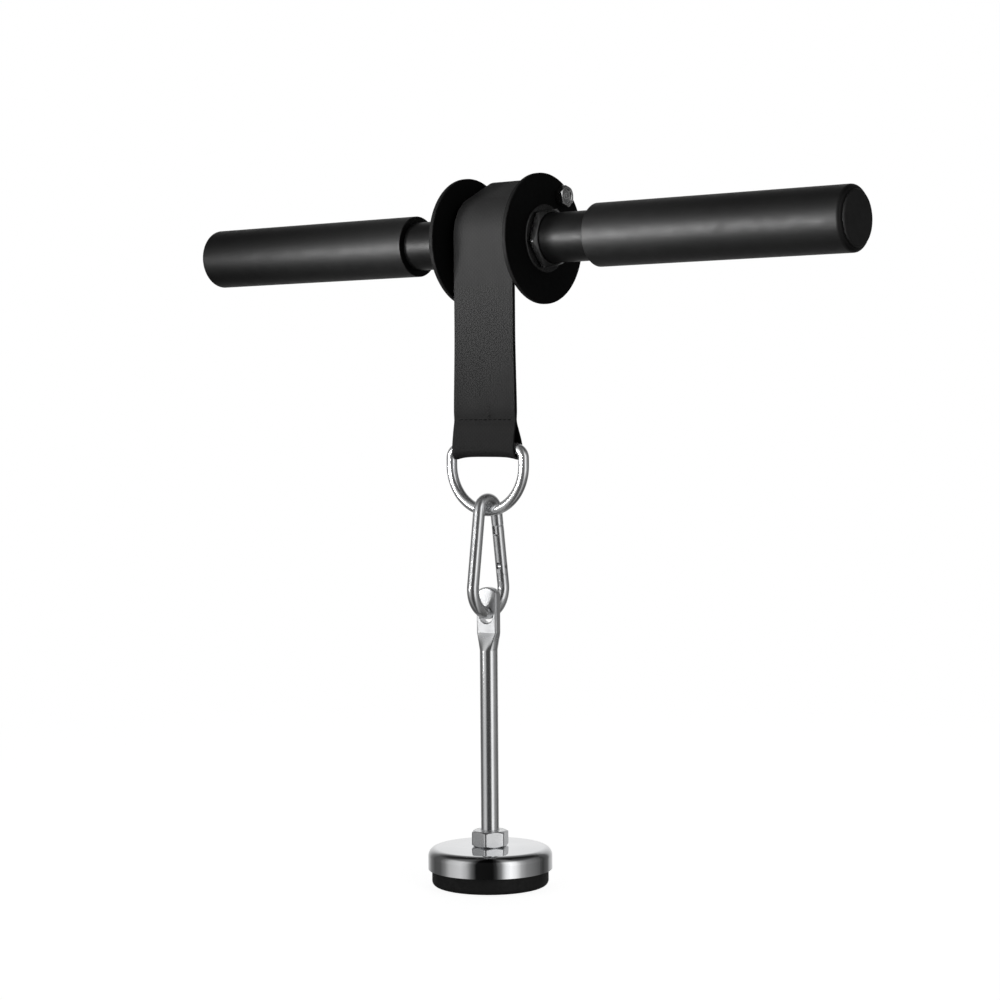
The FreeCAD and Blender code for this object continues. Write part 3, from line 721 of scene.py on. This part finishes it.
bm = bmesh.new()
head_profiles = dished(hex_profiles(*BOLT_HEAD), BOLT_HEAD[1])
add_rings(bm, turned_rings(head_profiles, (FLANGE_FACE, *BOLT_SPOT), (1, 0, 0), 96), True)
marks = [BOLT_TIP + 0.125 * k for k in range(72)] + [-20.0, 0.0, FLANGE_FACE]
add_rings(bm, turned_rings([(m, threaded(m)) for m in marks], (0, *BOLT_SPOT), (1, 0, 0), 48), True)
place(finish_mesh("anchor_bolt", bm, 30.0), "roller", "zinc_steel", ZINC, "cross_bolt")
bm = bmesh.new()
across, height, bore, corner_turn = LOCK_NUT
base = (-FLANGE_FACE, *BOLT_SPOT)
body_rings = hex_profiles(across, height - COLLAR_H, 0.0, corner_turn)[:-1]
collar = [(height - COLLAR_H, 4.55), (height - 0.5, 4.5), (height - 0.15, 4.25), (height, 3.85),
          (height, bore + 0.2), (height - 1.0, bore + 0.05), (0.2, bore + 0.05),
          (0.0, bore + 0.2), (0.0, across / 2 * BEVEL_SHARE - 0.25)]
profiles = body_rings + [(a, round_of(r)) for a, r in collar]
add_rings(bm, turned_rings(profiles, base, (-1, 0, 0), 96), False)
bmesh.ops.remove_doubles(bm, verts=bm.verts, dist=WELD)
place(finish_mesh("anchor_lock_nut", bm, 30.0), "roller", "zinc_steel", ZINC, "cross_bolt_nut")


# ---- camera -------------------------------------------------------------------------------------
LENS_MM = 84.586
CAMERA_AT = (0.73678, -0.96571, -0.09217)
CAMERA_LOOKS = (-0.60898, 0.79246, -0.03404)
CAMERA_AZIMUTH = math.radians(37.54)
CAMERA_ROLL = math.radians(-0.42)
look = Vector(CAMERA_LOOKS).normalized()
level = Vector((math.cos(CAMERA_AZIMUTH), math.sin(CAMERA_AZIMUTH), 0))
upright = level.cross(look).normalized()
right = level * math.cos(CAMERA_ROLL) + upright * math.sin(CAMERA_ROLL)
up = upright * math.cos(CAMERA_ROLL) - level * math.sin(CAMERA_ROLL)
camera_data = bpy.data.cameras.new("camera")
camera_data.lens = LENS_MM
camera_data.sensor_width = 36.0
camera_data.clip_start = 0.01
camera = bpy.data.objects.new("camera", camera_data)
turn = Matrix((right, up, -look)).transposed().to_4x4()
camera.matrix_world = Matrix.Translation(CAMERA_AT) @ turn
scene.collection.objects.link(camera)
scene.camera = camera
scene.view_settings.view_transform = "Standard"


# ---- light --------------------------------------------------------------------------------------
STUDIO = (                  # brightness of the walls by compass angle, degrees from -Y to +X
    (-180, 0.40), (-165, 0.60), (-142, 0.86), (-122, 0.55), (-102, 0.18), (-87, 0.08),
    (-68, 0.09), (-55, 0.22), (-43, 0.50), (-30, 0.60), (-19, 0.66), (-8, 0.48), (2, 0.14),
    (11, 0.008), (42, 0.006), (49, 0.035), (58, 0.22), (67, 0.93), (76, 1.22), (86, 0.95),
    (97, 0.43), (109, 0.24), (122, 0.18), (135, 0.13), (152, 0.045), (171, 0.12), (180, 0.40))
HEIGHTS = (                 # share of that brightness from straight below (0) to straight above (1)
    (0.0, 0.25), (0.25, 0.45), (0.42, 1.0), (0.74, 1.0), (0.85, 0.3), (1.0, 0.05))
world = bpy.data.worlds.new("studio")
scene.world = world
world.use_nodes = True
tree = world.node_tree
tree.nodes.clear()


def world_node(kind, **settings):
    made = tree.nodes.new(kind)
    for key, value in settings.items():
        setattr(made, key, value)
    return made


def world_ramp(value, stops):
    made = world_node("ShaderNodeValToRGB")
    tree.links.new(value, made.inputs[0])
    elements = made.color_ramp.elements
    while len(elements) < len(stops):
        elements.new(0.5)
    for element, (spot, level) in zip(elements, stops):
        element.position = spot
        element.color = (level, level, level, 1.0)
    return made.outputs[0]


def world_math(operation, a, b, c=0.0):
    made = world_node("ShaderNodeMath", operation=operation)
    for value, socket in zip((a, b, c), made.inputs):
        if isinstance(value, bpy.types.NodeSocket):
            tree.links.new(value, socket)
        else:
            socket.default_value = value
    return made.outputs[0]


RAMP_SCALE = 1.25           # a ramp holds values up to 1, so the studio is stored divided by this
direction = world_node("ShaderNodeSeparateXYZ")
tree.links.new(world_node("ShaderNodeTexCoord").outputs["Generated"], direction.inputs[0])
southward = world_math("MULTIPLY", direction.outputs[1], -1.0)
compass = world_math("ARCTAN2", direction.outputs[0], southward)
compass = world_math("MULTIPLY_ADD", compass, 1 / (2 * math.pi), 0.5)
walls = world_ramp(compass, [((a + 180) / 360, b / RAMP_SCALE) for a, b in STUDIO])
height = world_math("MULTIPLY_ADD", direction.outputs[2], 0.5, 0.5)
ceiling = world_ramp(height, HEIGHTS)
strength = world_math("MULTIPLY", walls, world_math("MULTIPLY", ceiling, RAMP_SCALE))
studio = world_node("ShaderNodeBackground")
studio.inputs["Color"].default_value = (1, 1, 1, 1)
tree.links.new(strength, studio.inputs["Strength"])
paper = world_node("ShaderNodeBackground")
paper.inputs["Color"].default_value = (1, 1, 1, 1)
paper.inputs["Strength"].default_value = 1.0
chooser = world_node("ShaderNodeMixShader")
tree.links.new(world_node("ShaderNodeLightPath").outputs["Is Camera Ray"], chooser.inputs[0])
tree.links.new(studio.outputs[0], chooser.inputs[1])
tree.links.new(paper.outputs[0], chooser.inputs[2])
tree.links.new(chooser.outputs[0], world_node("ShaderNodeOutputWorld").inputs[0])


def area_light(name, azimuth, elevation, distance, target, size, power, spread):
    """Rectangular light that faces target from a compass angle; size is (across, upright)."""
    a, e = math.radians(azimuth), math.radians(elevation)
    away = Vector((math.sin(a) * math.cos(e), -math.cos(a) * math.cos(e), math.sin(e)))
    data = bpy.data.lights.new(name, "AREA")
    data.shape = "RECTANGLE"
    data.size, data.size_y = size
    data.energy = power
    data.spread = math.radians(spread)
    light = bpy.data.objects.new(name, data)
    side = Vector((0, 0, 1)).cross(away).normalized()
    turn = Matrix((side, away.cross(side), away)).transposed().to_4x4()
    light.matrix_world = Matrix.Translation(Vector(target) + away * distance) @ turn
    scene.collection.objects.link(light)


area_light("key", -31.0, -7.0, 0.75, (0.086, -0.062, 0.045), (0.48, 0.21), 0.70, spread=25.0)
area_light("low", -38.0, -3.0, 0.60, (0, -0.017, -0.195), (0.22, 0.09), 0.0012, spread=10.0)
area_light("front", -8.0, -3.0, 0.75, (0, -0.01, 0.04), (0.10, 0.21), 0.13, spread=21.0)


# ---- floor --------------------------------------------------------------------------------------
FLOOR_Z = -0.3311
FLOOR_R = 6000.0
FLOOR_GLOW = 0.92           # the paper is lit evenly, as in a product photo
FADE_FROM, FADE_TO = 0.10, 0.75     # distances over which it turns into plain white
bm = bmesh.new()
bmesh.ops.create_circle(bm, cap_ends=True, radius=FLOOR_R, segments=96)
floor = finish_mesh("floor", bm)
floor.location = (0, RING_Y * MM, FLOOR_Z)
s = Surface("floor_paper")
x, y, _ = s.split(s.coords)
away = s.math("SQRT", s.math("MULTIPLY_ADD", x, x, s.math("MULTIPLY", y, y)))
far = s.ranged(away, 0.0, 1.0, FADE_FROM, FADE_TO)
s.done(grey(0.55), 0.9, Specular_IOR_Level=0.0)
glow = s.node("ShaderNodeEmission")
glow.inputs["Strength"].default_value = FLOOR_GLOW
white = s.node("ShaderNodeEmission")
white.inputs["Strength"].default_value = 1.0
added = s.node("ShaderNodeAddShader")
s.plug(s.shader.outputs[0], added.inputs[0])
s.plug(glow.outputs[0], added.inputs[1])
fade = s.node("ShaderNodeMixShader")
s.plug(far, fade.inputs[0])
s.plug(added.outputs[0], fade.inputs[1])
s.plug(white.outputs[0], fade.inputs[2])
s.plug(fade.outputs[0], s.tree.nodes["Material Output"].inputs["Surface"])
floor.data.materials.append(s.material)
floor.visible_diffuse = False
floor.visible_glossy = False
floor.visible_shadow = False
